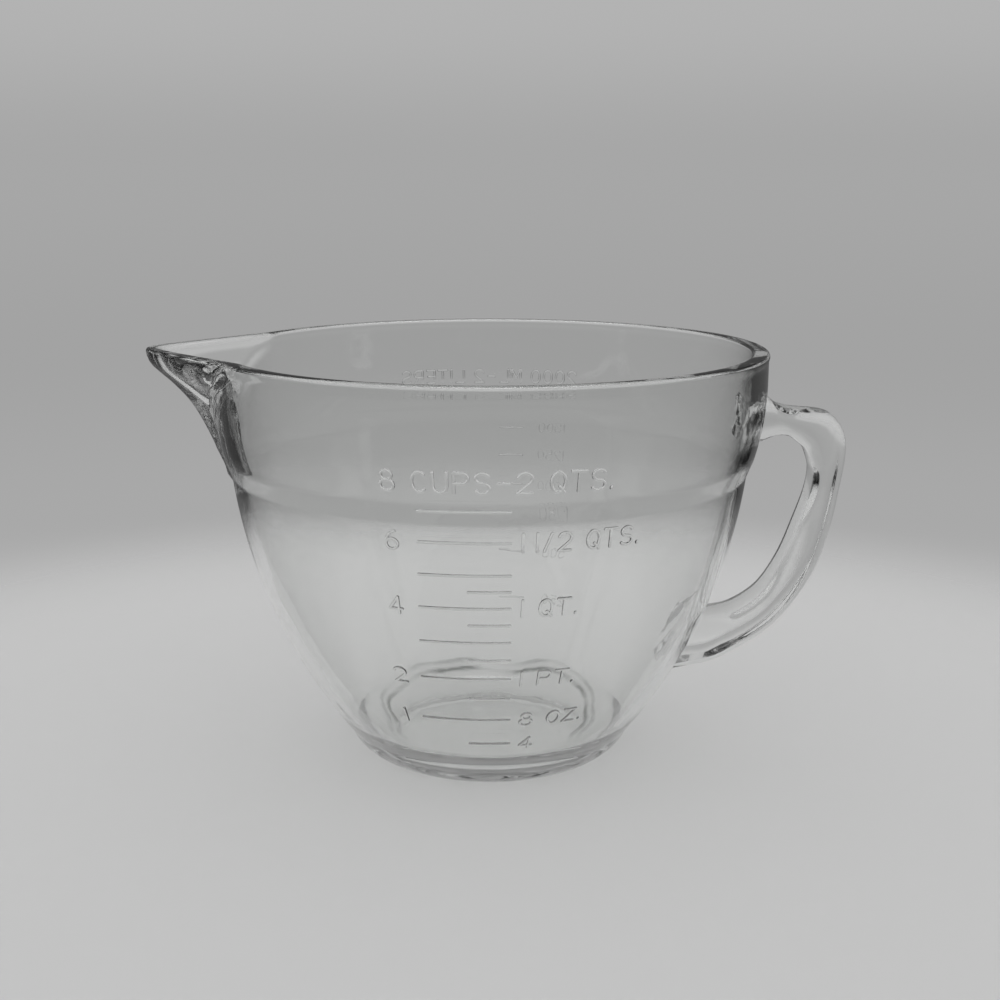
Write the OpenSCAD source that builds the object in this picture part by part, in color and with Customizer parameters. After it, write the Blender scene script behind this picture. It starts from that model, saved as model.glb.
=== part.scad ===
// Two-quart batter bowl of clear pressed glass, with a pouring spout, a strap handle
// and raised measuring scales on the front and the back.
// The real bowl is pressed in one piece, so each node here is one moulded feature of it.
// The features meet face to face. The bowl's axis is Z, its foot stands on z = 0,
// the handle points to +X, the spout to -X, and the cup scale faces -Y.

/* [Bowl] */
// Height of the rim above the table
rim_z = 145; // [140:1:155]
// Outer radius of the rim bead
rim_r = 96.4; // [95:0.2:101]
// Thickness of the rim bead
rim_t = 6; // [5:0.5:8]
// Height of the rim bead
bead_h = 2.8; // [2:0.1:5]
// Rounding of the rim's two edges
rim_bend_r = 1.2; // [0.8:0.1:1.8]
// How far the bead stands out from the collar
bead_proud = 0.35; // [0.1:0.05:0.8]
// Thickness of the wall
wall_t = 3.75; // [3:0.25:5.5]
// Radius of the wall's curve, seen from the side
body_bend_r = 190; // [150:5:300]

/* [Shoulder] */
// How far the shoulder's lower edge lies below the rim
shoulder_drop = 42; // [36:0.5:48]
// How far the shoulder's lower edge lies inside the rim's outer radius
shoulder_inset = 6.4; // [5:0.2:8]
// Height of the slanted shoulder band
shoulder_h = 6.2; // [4:0.2:8]
// How far the collar stands out past the wall at the shoulder
shoulder_proud = 2.5; // [1.5:0.1:4]
// How far below the rim the collar becomes upright
upright_drop = 10; // [7:0.5:16]

/* [Foot] */
// Outer radius of the flat ring that the bowl stands on
foot_r = 37.2; // [34:0.2:40]
// Radius of the heel's rounding above the ring
heel_bend_r = 15; // [12.5:0.1:18]
// Height of the crease between heel and wall
heel_z = 9.6; // [8:0.2:11]
// Thickness of the floor
floor_t = 6.25; // [5:0.25:7]
// Radius of the rounding between floor and wall, inside
floor_bend_r = 28; // [12:1:30]
// Width of the flat ring
ring_w = 1.4; // [1:0.1:9]
// Depth of the hollow under the middle of the floor
hollow_d = 0.8; // [0.4:0.1:1.5]

/* [Spout] */
// How far the spout's tip reaches past the rim
spout_reach = 23.2; // [18:0.2:28]
// How far the spout's keel reaches below the shoulder
keel_foot = 7; // [4:0.5:10]
// Angle from the spout's middle to where its lip leaves the rim
spout_half_angle = 26; // [22:0.5:28]
// Angle over which the lip's fold runs out into the rim
spout_fold_angle = 4; // [3:0.5:6]
// Width of the rounded fold beside the spout
spout_fold_w = 1.2; // [0.6:0.1:2]
// Rounding of the spout's nose, as an angle about the bowl's axis
spout_nose_angle = 3.2; // [2:0.2:6]
// How far the trough's tip reaches past the inside of the rim
trough_reach = 24.6; // [19:0.2:28]
// Depth of the trough, where it runs out into the wall, below the rim
trough_d = 16; // [12:0.5:20]

/* [Handle] */
// How far the handle's outer side stands out past the rim
handle_reach = 28.8; // [24:0.2:36]
// How far the upper root's top lies below the rim
handle_drop = 17.4; // [12:0.2:20]
// Height of the lower root's bottom
handle_low_z = 29.4; // [22:0.2:34]
// Width of the grip, across the bowl's side
handle_w = 20; // [16:0.5:26]
// How much wider the handle is at its roots
root_flare = 5; // [0:0.5:8]

/* [Scales] */
// Height of the raised figures and lines above the glass
mark_h = 0.55; // [0.4:0.05:0.8]
// Width of a raised line
line_w = 1.1; // [0.8:0.05:1.4]
// Stroke width of the lettering
stroke_w = 0.8; // [0.6:0.05:1]
// Left end of the cup lines, along the glass
line_left = 21.5; // [18:0.5:24]
// Right end of all the lines, along the glass
line_right = 6.3; // [5:0.1:8]
// Letter height of the heading on the collar
title_h = 6.4; // [5.5:0.1:6.6]
// Letter height of the cup scale
figure_h = 5.8; // [4:0.1:6]
// Height of the middle of the cup heading above the shoulder
title_rise = 7.5; // [6.5:0.1:10]
// Left end of the cup heading, along the glass
title_left = 33.1; // [30:0.5:36]
// Middle of the cup figures left of the lines, along the glass
figure_left = 28.7; // [27:0.1:32]
// Left end of the words right of the lines, along the glass
words_left = 9.8; // [9:0.1:12]
// Letter height of the metric heading
metric_title_h = 5.3; // [4.6:0.1:6]
// Height of the middle of the metric heading above the shoulder
metric_title_rise = 12.1; // [9:0.1:14]
// Letter height of the metric figures
metric_h = 3.7; // [3:0.1:4.2]
// Near end of the metric lines, along the glass from the middle of the back
metric_line_near = 4.4; // [3:0.1:6]
// Length of the metric lines
metric_line_l = 10; // [7:0.5:12]
// Far end of the metric figures, along the glass from the middle of the back
metric_far = 32.5; // [32:0.1:36]

/* [Hidden] */
$fn = 360;
glass = "gainsboro";

// The bowl's outline
shoulder_low_z = rim_z - shoulder_drop;
shoulder_low_r = rim_r - shoulder_inset;
shoulder_top_z = shoulder_low_z + shoulder_h;
shoulder_top_r = shoulder_low_r + shoulder_proud;
collar_upright_z = rim_z - upright_drop;
collar_r = rim_r - bead_proud;
bead_low_z = rim_z - bead_h;
rim_in_r = rim_r - rim_t;
bead_mid_r = rim_r - rim_t / 2;
collar_t = collar_r - rim_in_r;
spout_low_z = shoulder_low_z - keel_foot;
hollow_r = foot_r - ring_w;
hollow_steps = 5;
heel_steps = 7;
body_steps = 12;
keel_steps = 4;
collar_steps = 12;
rim_steps = 4;
corner_steps = 6;

// A heel arc stands on the foot ring, and ends at the crease
heel_r = foot_r + sqrt(pow(heel_bend_r, 2) - pow(heel_bend_r - heel_z, 2));
heel_end = acos((heel_bend_r - heel_z) / heel_bend_r);
// One large arc runs from the crease to the shoulder's lower edge
chord = [shoulder_low_r - heel_r, shoulder_low_z - heel_z];
chord_mid = [shoulder_low_r + heel_r, shoulder_low_z + heel_z] / 2;
centre_back = sqrt(pow(body_bend_r, 2) - pow(norm(chord) / 2, 2));
body_centre = chord_mid + centre_back * [-chord[1], chord[0]] / norm(chord);
inner_bend_r = body_bend_r - wall_t;
// The rounding inside touches the floor and the wall's inner arc
corner_z = floor_t + floor_bend_r;
corner_r = body_centre[0]
    + sqrt(pow(inner_bend_r - floor_bend_r, 2) - pow(body_centre[1] - corner_z, 2));
corner_end = atan2(body_centre[1] - corner_z, corner_r - body_centre[0]);
corner_top_z = corner_z - floor_bend_r * sin(corner_end);

function body_arc_r(bend, z) = body_centre[0] + sqrt(pow(bend, 2) - pow(body_centre[1] - z, 2));
function mix(a, b, share) = a + (b - a) * share;
function ease(share) = pow(sin(90 * share), 2);
function clamp01(share) = min(max(share, 0), 1);

// The collar leans in below the height at which it is upright
function collar_out_r(z) = collar_r - (collar_r - shoulder_top_r)
    * pow(1 - clamp01((z - shoulder_top_z) / (collar_upright_z - shoulder_top_z)), 2);
// Outer radius at a height on the wall, the shoulder or the collar
function out_r(z) = z <= shoulder_low_z ? body_arc_r(body_bend_r, z)
    : z <= shoulder_top_z ? mix(shoulder_low_r, shoulder_top_r, (z - shoulder_low_z) / shoulder_h)
    : collar_out_r(z);
// How far the surface leans from upright at a height
slope_step = heel_z / 8;
function lean(z) = atan2(out_r(z + slope_step) - out_r(z - slope_step), 2 * slope_step);

shoulder_in_r = body_arc_r(inner_bend_r, shoulder_low_z);
// The rim is flat on top, and its two edges are rounded
bead_out_points = [for (i = [0:rim_steps]) let (a = 90 * i / rim_steps)
    [rim_r, rim_z] + rim_bend_r * [cos(a) - 1, sin(a) - 1]];
bead_in_points = [for (i = [0:rim_steps]) let (a = 90 * i / rim_steps)
    [rim_in_r, rim_z] + rim_bend_r * [1 - cos(a), sin(a) - 1]];
// Both sides have as many points from the spout's foot to the middle of the rim
upper_out = concat(
    [for (i = [0:keel_steps - 1]) let (z = mix(spout_low_z, shoulder_low_z, i / keel_steps))
        [body_arc_r(body_bend_r, z), z]],
    [for (i = [0:1]) [mix(shoulder_low_r, shoulder_top_r, i / 2), shoulder_low_z + shoulder_h * i / 2]],
    [for (i = [0:collar_steps]) let (z = mix(shoulder_top_z, bead_low_z, i / collar_steps))
        [collar_out_r(z), z]],
    bead_out_points, [[bead_mid_r, rim_z]]);
// Inside the collar the wall runs beside its outer face
upper_in = concat(
    [for (i = [0:keel_steps - 1]) let (z = mix(spout_low_z, shoulder_low_z, i / keel_steps))
        [body_arc_r(inner_bend_r, z), z]],
    [for (i = [0:1])
        [mix(shoulder_in_r, shoulder_top_r - collar_t, i / 2), shoulder_low_z + shoulder_h * i / 2]],
    [for (i = [0:collar_steps]) let (z = mix(shoulder_top_z, bead_low_z, i / collar_steps))
        [collar_out_r(z) - collar_t, z]],
    bead_in_points, [[bead_mid_r, rim_z]]);
upper_n = len(upper_out) - 1;

hollow_points = [for (i = [0:hollow_steps - 1])
    [hollow_r * i / hollow_steps, hollow_d * (1 - pow(i / hollow_steps, 2))]];
heel_points = [for (i = [0:heel_steps - 1]) let (a = heel_end * i / heel_steps)
    [foot_r + heel_bend_r * sin(a), heel_bend_r * (1 - cos(a))]];
body_points = [for (i = [0:body_steps - 1]) let (z = mix(heel_z, spout_low_z, i / body_steps))
    [body_arc_r(body_bend_r, z), z]];
inner_points = [for (i = [body_steps - 1:-1:0])
    let (z = mix(corner_top_z, spout_low_z, i / body_steps)) [body_arc_r(inner_bend_r, z), z]];
corner_points = [for (i = [1:corner_steps]) let (a = mix(corner_end, 90, i / corner_steps))
    [corner_r + floor_bend_r * cos(a), corner_z - floor_bend_r * sin(a)]];
upper_in_down = [for (i = [upper_n - 1:-1:0]) upper_in[i]];
outer_outline = concat(heel_points, body_points, upper_out);

module bowl_section() {
    polygon(concat(hollow_points, [[hollow_r, 0]], outer_outline, upper_in_down, inner_points,
        corner_points, [[0, floor_t]]));
}

// Everything inside the bowl's outer surface, which trims what is moulded onto it
module envelope_section() { polygon(concat([[0, 0]], outer_outline, [[0, rim_z]])); }
module bowl_envelope() { rotate_extrude() envelope_section(); }

// One feature of the bowl: its outline between two radii and two heights
module feature_ring(r_low, r_high, z_low, z_high) {
    rotate_extrude() intersection() {
        bowl_section();
        translate([r_low, z_low]) square([r_high - r_low, z_high - z_low]);
    }
}

// The same, with the spout's sector left out
spout_sector = spout_half_angle + spout_fold_angle;
module open_ring(z_low, z_high) {
    rotate_extrude(start = 180 + spout_sector, angle = 360 - 2 * spout_sector) intersection() {
        bowl_section();
        translate([0, z_low]) square([2 * rim_r, z_high - z_low]);
    }
}

module bowl_floor() { color(glass) feature_ring(0, hollow_r, 0, rim_z); }
module foot_ring() { color(glass) feature_ring(hollow_r, rim_r, 0, heel_z); }
module bowl_wall() {
    color(glass) {
        feature_ring(hollow_r, rim_r, heel_z, spout_low_z);
        open_ring(spout_low_z, shoulder_low_z);
    }
}
module shoulder_band() { color(glass) open_ring(shoulder_low_z, shoulder_top_z); }
module collar() { color(glass) open_ring(shoulder_top_z, bead_low_z); }
module rim_bead() { color(glass) open_ring(bead_low_z, rim_z); }

// The spout is a keel outside and a flat-sided trough inside. At each height its plan is
// two straight sides that meet at a rounded nose and run back to the bowl's circle.
// Up the keel's nose: shares of the height from its foot to the bead, and of the reach
nose_shares = [[0, 0], [0.04, 0.085], [0.1, 0.14], [0.25, 0.155], [0.36, 0.18], [0.48, 0.24],
    [0.6, 0.335], [0.7, 0.46], [0.8, 0.64], [0.88, 0.82], [0.94, 0.945], [1, 1]];
spout_steps = 44;
// The sections stand closer together near the nose
spread_power = 1.25;
keel_angle = atan2(rim_r * sin(spout_half_angle),
    rim_r + spout_reach - rim_r * cos(spout_half_angle));
trough_angle = atan2(rim_in_r * sin(spout_half_angle),
    rim_in_r + trough_reach - rim_in_r * cos(spout_half_angle));
trough_low_z = rim_z - trough_d;

function smooth_max(a, b, width) =
    let (near = max(width - abs(a - b), 0) / width) max(a, b) + near * near * width / 4;
function round_angle(a) = sqrt(pow(a, 2) + pow(spout_nose_angle, 2)) - spout_nose_angle;
function side_r(nose, side, a) = nose * sin(side) / sin(round_angle(a) + side);
function run_out(a) = 1 - ease(clamp01((abs(a) - spout_half_angle) / spout_fold_angle));
function spout_grow(base, nose, side, a) =
    run_out(a) * (smooth_max(side_r(nose, side, a), base, spout_fold_w) - base);
function keel_share(z) = let (t = clamp01((z - spout_low_z) / (bead_low_z - spout_low_z)))
    lookup(t, nose_shares);
function keel_grow(r, z, a) = keel_share(z) == 0 ? 0
    : spout_grow(r, r + spout_reach * keel_share(z), keel_angle, a);
function trough_grow(r, z, a) = let (t = (z - trough_low_z) / trough_d)
    t <= 0 ? 0 : spout_grow(r, r + trough_reach * t, trough_angle, a);

// A point of the outer side, inner 0, or of the inner side, inner 1, at an angle from the
// spout's middle. Across the rim the keel's growth passes into the trough's.
function spout_point(p, inner, a) =
    let (across = p[1] > bead_low_z ? clamp01((rim_r - p[0]) / rim_t) : inner,
        r = p[0] + mix(keel_grow(p[0], p[1], a), trough_grow(p[0], p[1], a), across))
    [-r * cos(a), -r * sin(a), p[1]];

module pour_spout() {
    loop_n = 2 * upper_n + 1;
    angles = [for (i = [0:spout_steps]) let (u = 2 * i / spout_steps - 1)
        spout_sector * sign(u) * pow(abs(u), spread_power)];
    points = [for (a = angles) for (k = [0:loop_n - 1])
        k <= upper_n ? spout_point(upper_out[k], 0, a) : spout_point(upper_in[2 * upper_n - k], 1, a)];
    sides = [for (i = [0:spout_steps - 1]) for (k = [0:loop_n - 1])
        let (n = (k + 1) % loop_n, p = i * loop_n, q = p + loop_n)
        each [[p + k, q + k, p + n], [p + n, q + k, q + n]]];
    first_cap = [for (k = [0:upper_n - 1])
        each k < upper_n - 1
            ? [[k, k + 1, 2 * upper_n - k], [k + 1, 2 * upper_n - k - 1, 2 * upper_n - k]]
            : [[k, k + 1, 2 * upper_n - k]]];
    last = spout_steps * loop_n;
    last_cap = [for (f = first_cap) [f[0] + last, f[2] + last, f[1] + last]];
    color(glass) polyhedron(points, concat(sides, first_cap, last_cap));
}

// The strap handle is swept between an outer and an inner contour. Each point is a share of
// the way from the wall to the handle's outer side, and of the height between its roots.
handle_out_shares = [[-0.3, 1.03], [-0.12, 1.02], [0.067, 1], [0.159, 0.979], [0.363, 0.961],
    [0.74, 0.951], [0.885, 0.924], [0.975, 0.875], [1, 0.81], [0.961, 0.697], [0.884, 0.518],
    [0.759, 0.34], [0.534, 0.159], [0.244, 0.037], [0.059, 0.007], [-0.08, -0.01], [-0.16, -0.02]];
handle_in_shares = [[-0.3, 0.804], [-0.12, 0.824], [0.071, 0.85], [0.194, 0.867], [0.34, 0.865],
    [0.458, 0.842], [0.57, 0.814], [0.64, 0.773], [0.68, 0.729], [0.663, 0.65], [0.586, 0.538],
    [0.506, 0.412], [0.403, 0.299], [0.257, 0.231], [0.1, 0.208], [-0.08, 0.2], [-0.16, 0.198]];
// How much of the flare each section has
flare_shares = [1, 1, 0.7, 0.35, 0.1, 0, 0, 0, 0, 0, 0, 0, 0.05, 0.3, 0.75, 1, 1];
handle_spans = len(handle_out_shares) - 1;
handle_x = rim_r + handle_reach;
handle_top_z = rim_z - handle_drop;
span_steps = 4;
section_sides = 16;
// A section is a rounded oblong: the power of the superellipse that gives its corners
section_power = 0.55;

function handle_point(shares) = let (z = mix(handle_low_z, handle_top_z, shares[1]),
    wall_r = out_r(min(max(z, heel_z), rim_z)))
    [mix(wall_r, handle_x, shares[0]), z];
function spline(list, i, t) = let (n = len(list) - 1,
    a = list[max(i - 1, 0)], b = list[i], c = list[min(i + 1, n)], d = list[min(i + 2, n)])
    b + (c - a) * t / 2 + (2 * a - 5 * b + 4 * c - d) * pow(t, 2) / 2
    + (3 * b - a - 3 * c + d) * pow(t, 3) / 2;
function oblong(v) = sign(v) * pow(abs(v), section_power);

module handle_sweep() {
    outs = [for (s = handle_out_shares) handle_point(s)];
    ins = [for (s = handle_in_shares) handle_point(s)];
    rings = handle_spans * span_steps;
    points = [for (j = [0:rings])
        let (i = min(floor(j / span_steps), handle_spans - 1), t = j / span_steps - i,
            out = spline(outs, i, t), in = spline(ins, i, t),
            half_w = (handle_w + root_flare * spline(flare_shares, i, t)) / 2,
            mid = (out + in) / 2, half = (out - in) / 2)
        for (k = [0:section_sides - 1]) let (a = 360 * (k + 1 / 2) / section_sides,
            p = mid + half * oblong(cos(a)))
        [p[0], half_w * oblong(sin(a)), p[1]]];
    sides = [for (j = [0:rings - 1]) for (k = [0:section_sides - 1])
        let (n = (k + 1) % section_sides, p = j * section_sides, q = p + section_sides)
        each [[p + k, p + n, q + k], [p + n, q + n, q + k]]];
    start = [for (k = [1:section_sides - 2]) [0, k + 1, k]];
    last = rings * section_sides;
    end = [for (k = [1:section_sides - 2]) [last, last + k, last + k + 1]];
    polyhedron(points, concat(sides, start, end));
}

module handle() {
    color(glass) difference() {
        handle_sweep();
        bowl_envelope();
    }
}

// Heights of the lines, as shares of the height of the shoulder's top: 1 to 7 cups, then
// the half cups
cup_line_shares = [0.302, 0.455, 0.581, 0.692, 0.794, 0.891, 0.984];
half_cup_shares = [0.204, 0.384, 0.521, 0.638, 0.744];
// 250 to 1500 millilitres
metric_line_shares = [0.312, 0.471, 0.601, 0.716, 0.823, 0.923];

// A raised line round the wall, from left to right of the middle of a side
module wall_line(z, left, right) {
    from = -90 - left / out_r(z) * 180 / PI;
    sweep = (left + right) / out_r(z) * 180 / PI;
    rotate_extrude(start = from, angle = sweep) difference() {
        translate([out_r(z), z]) circle(line_w / 2, $fn = 24);
        envelope_section();
    }
}

module cup_lines() {
    color(glass) for (share = cup_line_shares)
        wall_line(share * shoulder_top_z, line_left, line_right);
}
module half_cup_lines() {
    color(glass) for (share = half_cup_shares)
        wall_line(share * shoulder_top_z, line_right, line_right);
}
module metric_lines() {
    color(glass) rotate([0, 0, 180]) for (share = metric_line_shares)
        wall_line(share * shoulder_top_z, metric_line_near + metric_line_l, -metric_line_near);
}

// The plain alphabet of the scales. A letter is a list of strokes, and a stroke a list of
// points, all as shares of the letter's height.
letter_share = 0.7;
narrow_share = 0.1;
slash_share = 0.5;
gap_share = 0.28;
space_share = 0.3;
arc_step_angle = 36;
function arc_shares(mid, radii, from, to) = let (n = ceil(abs(to - from) / arc_step_angle))
    [for (i = [0:n]) let (a = mix(from, to, i / n)) mid + [radii[0] * cos(a), radii[1] * sin(a)]];
function ring_shares(mid, radii) = [arc_shares(mid, radii, -90, 90), arc_shares(mid, radii, 90, 270)];
bow_shares = concat([[0.02, 0], [0.02, 1]], arc_shares([0.4, 0.74], [0.28, 0.26], 90, -90),
    [[0.02, 0.48]]);
function letter_shares(c) =
    c == "0" || c == "O" ? ring_shares([0.35, 0.5], [0.33, 0.5])
    : c == "1" || c == "I" ? [[[0.05, 0], [0.05, 1]]]
    : c == "2" ? [concat(arc_shares([0.35, 0.7], [0.33, 0.3], 165, -35), [[0.02, 0], [0.68, 0]])]
    : c == "4" ? [[[0.52, 0], [0.52, 1], [0.02, 0.28], [0.7, 0.28]]]
    : c == "5" ? [concat([[0.62, 1], [0.12, 1], [0.08, 0.56]],
        arc_shares([0.33, 0.33], [0.34, 0.33], 110, -145))]
    : c == "6" ? concat(ring_shares([0.35, 0.29], [0.32, 0.29]),
        [arc_shares([0.62, 0.33], [0.59, 0.68], 100, 180)])
    : c == "7" ? [[[0, 1], [0.68, 1], [0.22, 0]]]
    : c == "8" ? concat(ring_shares([0.35, 0.76], [0.26, 0.24]),
        ring_shares([0.35, 0.27], [0.33, 0.27]))
    : c == "C" ? [arc_shares([0.36, 0.5], [0.34, 0.5], 48, 312)]
    : c == "E" ? [[[0.62, 1], [0.02, 1], [0.02, 0], [0.62, 0]], [[0.02, 0.52], [0.54, 0.52]]]
    : c == "L" ? [[[0.02, 1], [0.02, 0], [0.62, 0]]]
    : c == "M" ? [[[0, 0], [0, 1], [0.35, 0.35], [0.7, 1], [0.7, 0]]]
    : c == "P" ? [bow_shares]
    : c == "Q" ? concat(ring_shares([0.35, 0.5], [0.33, 0.5]), [[[0.42, 0.28], [0.68, -0.04]]])
    : c == "R" ? [bow_shares, [[0.36, 0.48], [0.68, 0]]]
    : c == "S" ? [concat(arc_shares([0.35, 0.75], [0.31, 0.25], 25, 250),
        arc_shares([0.35, 0.25], [0.33, 0.25], 70, -150))]
    : c == "T" ? [[[0, 1], [0.7, 1]], [[0.35, 0], [0.35, 1]]]
    : c == "U" ? [concat([[0.02, 1]], arc_shares([0.35, 0.34], [0.33, 0.34], 180, 360), [[0.68, 1]])]
    : c == "Z" ? [[[0.02, 1], [0.66, 1], [0.02, 0], [0.68, 0]]]
    : c == "-" ? [[[0.1, 0.48], [0.6, 0.48]]]
    : c == "/" ? [[[0.04, 0], [0.42, 1]]]
    : c == "." ? [[[0.05, 0.02], [0.05, 0.08]]]
    : [];
// An underscore stands for a thin space
function width_share(c) = c == " " ? space_share
    : c == "1" || c == "I" || c == "." || c == "_" ? narrow_share
    : c == "/" ? slash_share
    : letter_share;
// Where letter i of a line starts
function start_share(words, i) = i == 0 ? 0
    : start_share(words, i - 1) + width_share(words[i - 1]) + gap_share;

// A stroke's outline: a ribbon with mitred turns and square ends
function unit(v) = v / norm(v);
function left_of(v) = [-v[1], v[0]];
function ribbon(points, width) = let (n = len(points) - 1, half = width / 2,
    along = [for (i = [0:n - 1]) unit(points[i + 1] - points[i])],
    ends = [for (i = [0:n]) i == 0 ? points[0] - along[0] * half
        : i == n ? points[n] + along[n - 1] * half : points[i]],
    turn = [for (i = [0:n]) let (a = along[max(i - 1, 0)], b = along[min(i, n - 1)],
        m = unit(left_of(a) + left_of(b))) m / (m * left_of(a))])
    concat([for (i = [0:n]) ends[i] + turn[i] * half], [for (i = [n:-1:0]) ends[i] - turn[i] * half]);

// One letter, upright on the glass at an arc length from the middle of a side. Its ribbons
// are half a stroke wide, and the offset joins them and rounds their ends.
module letter(c, height, left, z) {
    middle = left + width_share(c) * height / 2;
    rotate([0, 0, middle / out_r(z) * 180 / PI]) translate([0, -out_r(z), z])
        rotate([90 + lean(z), 0, 0]) translate([-width_share(c) * height / 2, -height / 2, -mark_h])
            linear_extrude(2 * mark_h) offset(stroke_w / 4, $fn = 8)
                for (stroke = letter_shares(c)) polygon(ribbon(stroke * height, stroke_w / 2));
}

module words(text_line, height, left, z) {
    for (i = [0:len(text_line) - 1]) if (len(letter_shares(text_line[i])) > 0)
        letter(text_line[i], height, left + start_share(text_line, i) * height, z);
}

module cup_heading() {
    color(glass) difference() {
        words("8 CUPS-2 QTS.", title_h, -title_left, shoulder_top_z + title_rise);
        bowl_envelope();
    }
}

// Each line's figure stands this share of figure_left from the middle
figure_place_shares = [0.965, 1.005, 1.01, 1.02, 1.03, 1.04];
module cup_figures() {
    figures = [["1", 0], ["2", 1], ["4", 3], ["6", 5]];
    color(glass) difference() {
        for (f = figures)
            words(f[0], figure_h,
                -figure_place_shares[f[1]] * figure_left - width_share(f[0]) * figure_h / 2,
                cup_line_shares[f[1]] * shoulder_top_z);
        bowl_envelope();
    }
}

module measure_words() {
    lines = [["4", half_cup_shares[0]], ["8 OZ.", cup_line_shares[0]], ["1 PT.", cup_line_shares[1]],
        ["1 QT.", cup_line_shares[3]], ["1_1/2 QTS.", cup_line_shares[5]]];
    color(glass) difference() {
        for (l = lines) words(l[0], figure_h, words_left, l[1] * shoulder_top_z);
        bowl_envelope();
    }
}

module metric_heading() {
    heading = "2000 ML-2 LITERS";
    length = (start_share(heading, len(heading)) - gap_share) * metric_title_h;
    color(glass) difference() {
        rotate([0, 0, 180]) words(heading, metric_title_h, -length / 2,
            shoulder_top_z + metric_title_rise);
        bowl_envelope();
    }
}

module metric_figures() {
    figures = ["250", "500", "750", "1000", "1250", "1500"];
    color(glass) difference() {
        rotate([0, 0, 180]) for (i = [0:len(figures) - 1])
            words(figures[i], metric_h, -metric_far, metric_line_shares[i] * shoulder_top_z);
        bowl_envelope();
    }
}

bowl_floor();
foot_ring();
bowl_wall();
shoulder_band();
collar();
rim_bead();
pour_spout();
handle();
cup_lines();
half_cup_lines();
cup_heading();
cup_figures();
measure_words();
metric_lines();
metric_heading();
metric_figures();
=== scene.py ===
# A two-quart batter bowl of clear pressed glass on a pale studio floor.
import math

import bpy
import numpy as np
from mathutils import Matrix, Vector
from mathutils.bvhtree import BVHTree
from mathutils.interpolate import poly_3d_calc


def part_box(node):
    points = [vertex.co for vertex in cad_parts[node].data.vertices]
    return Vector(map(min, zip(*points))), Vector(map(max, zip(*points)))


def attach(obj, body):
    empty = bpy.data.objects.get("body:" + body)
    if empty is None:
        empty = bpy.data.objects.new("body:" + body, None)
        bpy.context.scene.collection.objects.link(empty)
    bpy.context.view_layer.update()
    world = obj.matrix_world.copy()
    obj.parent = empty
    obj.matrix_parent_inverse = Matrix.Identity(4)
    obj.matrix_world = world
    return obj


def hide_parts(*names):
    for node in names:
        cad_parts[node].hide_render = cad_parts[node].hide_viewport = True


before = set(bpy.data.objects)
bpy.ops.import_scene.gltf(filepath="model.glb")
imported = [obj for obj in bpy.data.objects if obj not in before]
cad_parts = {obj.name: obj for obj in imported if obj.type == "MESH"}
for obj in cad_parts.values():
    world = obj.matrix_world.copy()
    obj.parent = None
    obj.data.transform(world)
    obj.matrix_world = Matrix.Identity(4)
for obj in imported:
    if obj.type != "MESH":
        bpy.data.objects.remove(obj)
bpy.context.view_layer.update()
mm = 0.001

# The bowl's body. It is pressed from one gob of clear soda-lime glass, so the outside and the
# inside are one closed skin round the wall. Its outline is drawn point by point from under
# the floor, up the outside, over the rim and down the inside, and is then spun about the axis.
foot_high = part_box("foot_ring")[1]
wall_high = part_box("bowl_wall")[1]
shoulder_low, shoulder_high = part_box("shoulder_band")
bead_low, bead_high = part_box("rim_bead")
rim_z, rim_r = bead_high.z, bead_high.y
bead_z = bead_low.z
bead_t, bead_corner = 5.9 * mm, 1.2 * mm
collar_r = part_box("collar")[1].y
collar_t = collar_r - (rim_r - bead_t)
upright_h = 10 * mm
collar_upright_z = rim_z - upright_h
shoulder_z, shoulder_r = shoulder_low.z, wall_high.y
shoulder_top_z, shoulder_top_r = shoulder_high.z, shoulder_high.y
heel_z, heel_r = foot_high.z, foot_high.y
heel_bend = 15 * mm
foot_r = heel_r - math.sqrt(heel_bend**2 - (heel_bend - heel_z) ** 2)
hollow_r, hollow_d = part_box("bowl_floor")[1].x, 0.8 * mm
floor_z = 6.25 * mm
floor_bend = 28 * mm
wall_t = 3.75 * mm
wall_bend = 190 * mm
crease_reach = 0.8 * mm
seam = 0.01 * mm


def bend_centre(r_low, z_low, r_high, z_high, bend):
    """Centre of an arc of radius bend through two points of the outline, on the axis side."""
    half = math.dist((r_low, z_low), (r_high, z_high)) / 2
    back = math.sqrt(bend**2 - half**2) / (2 * half)
    middle_r, middle_z = (r_low + r_high) / 2, (z_low + z_high) / 2
    return middle_r - back * (z_high - z_low), middle_z + back * (r_high - r_low)


bend_r, bend_z = bend_centre(heel_r, heel_z, shoulder_r, shoulder_z, wall_bend)


def mix(a, b, share):
    return a + (b - a) * share


def clamp(share):
    return min(max(share, 0), 1)


def arc_r(bend, z):
    """Radius of the wall's large arc at a height: outside, or inside with the wall's depth off."""
    return bend_r + math.sqrt(bend**2 - (bend_z - z) ** 2)


def collar_out_r(z):
    """The collar leans in towards the shoulder, and is upright near the rim."""
    lean = clamp((z - shoulder_top_z) / (collar_upright_z - shoulder_top_z))
    return collar_r - (collar_r - shoulder_top_r) * (1 - lean) ** 2


def collar_in_r(z):
    """Inside the collar the wall runs beside its outer face, and inside the shoulder straight."""
    if z >= shoulder_top_z:
        return collar_out_r(z) - collar_t
    return mix(shoulder_in_r, shoulder_top_r - collar_t, (z - shoulder_z) / (shoulder_top_z - shoulder_z))


def outside_r(z):
    """Outer radius at a height on the wall, the shoulder or the collar."""
    if z <= shoulder_z:
        return arc_r(wall_bend, z)
    if z <= shoulder_top_z:
        return mix(shoulder_r, shoulder_top_r, (z - shoulder_z) / (shoulder_top_z - shoulder_z))
    return collar_out_r(z)


def run(low, high, steps):
    """Steps + 1 even values from low to high."""
    return [low + (high - low) * i / steps for i in range(steps + 1)]


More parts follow.
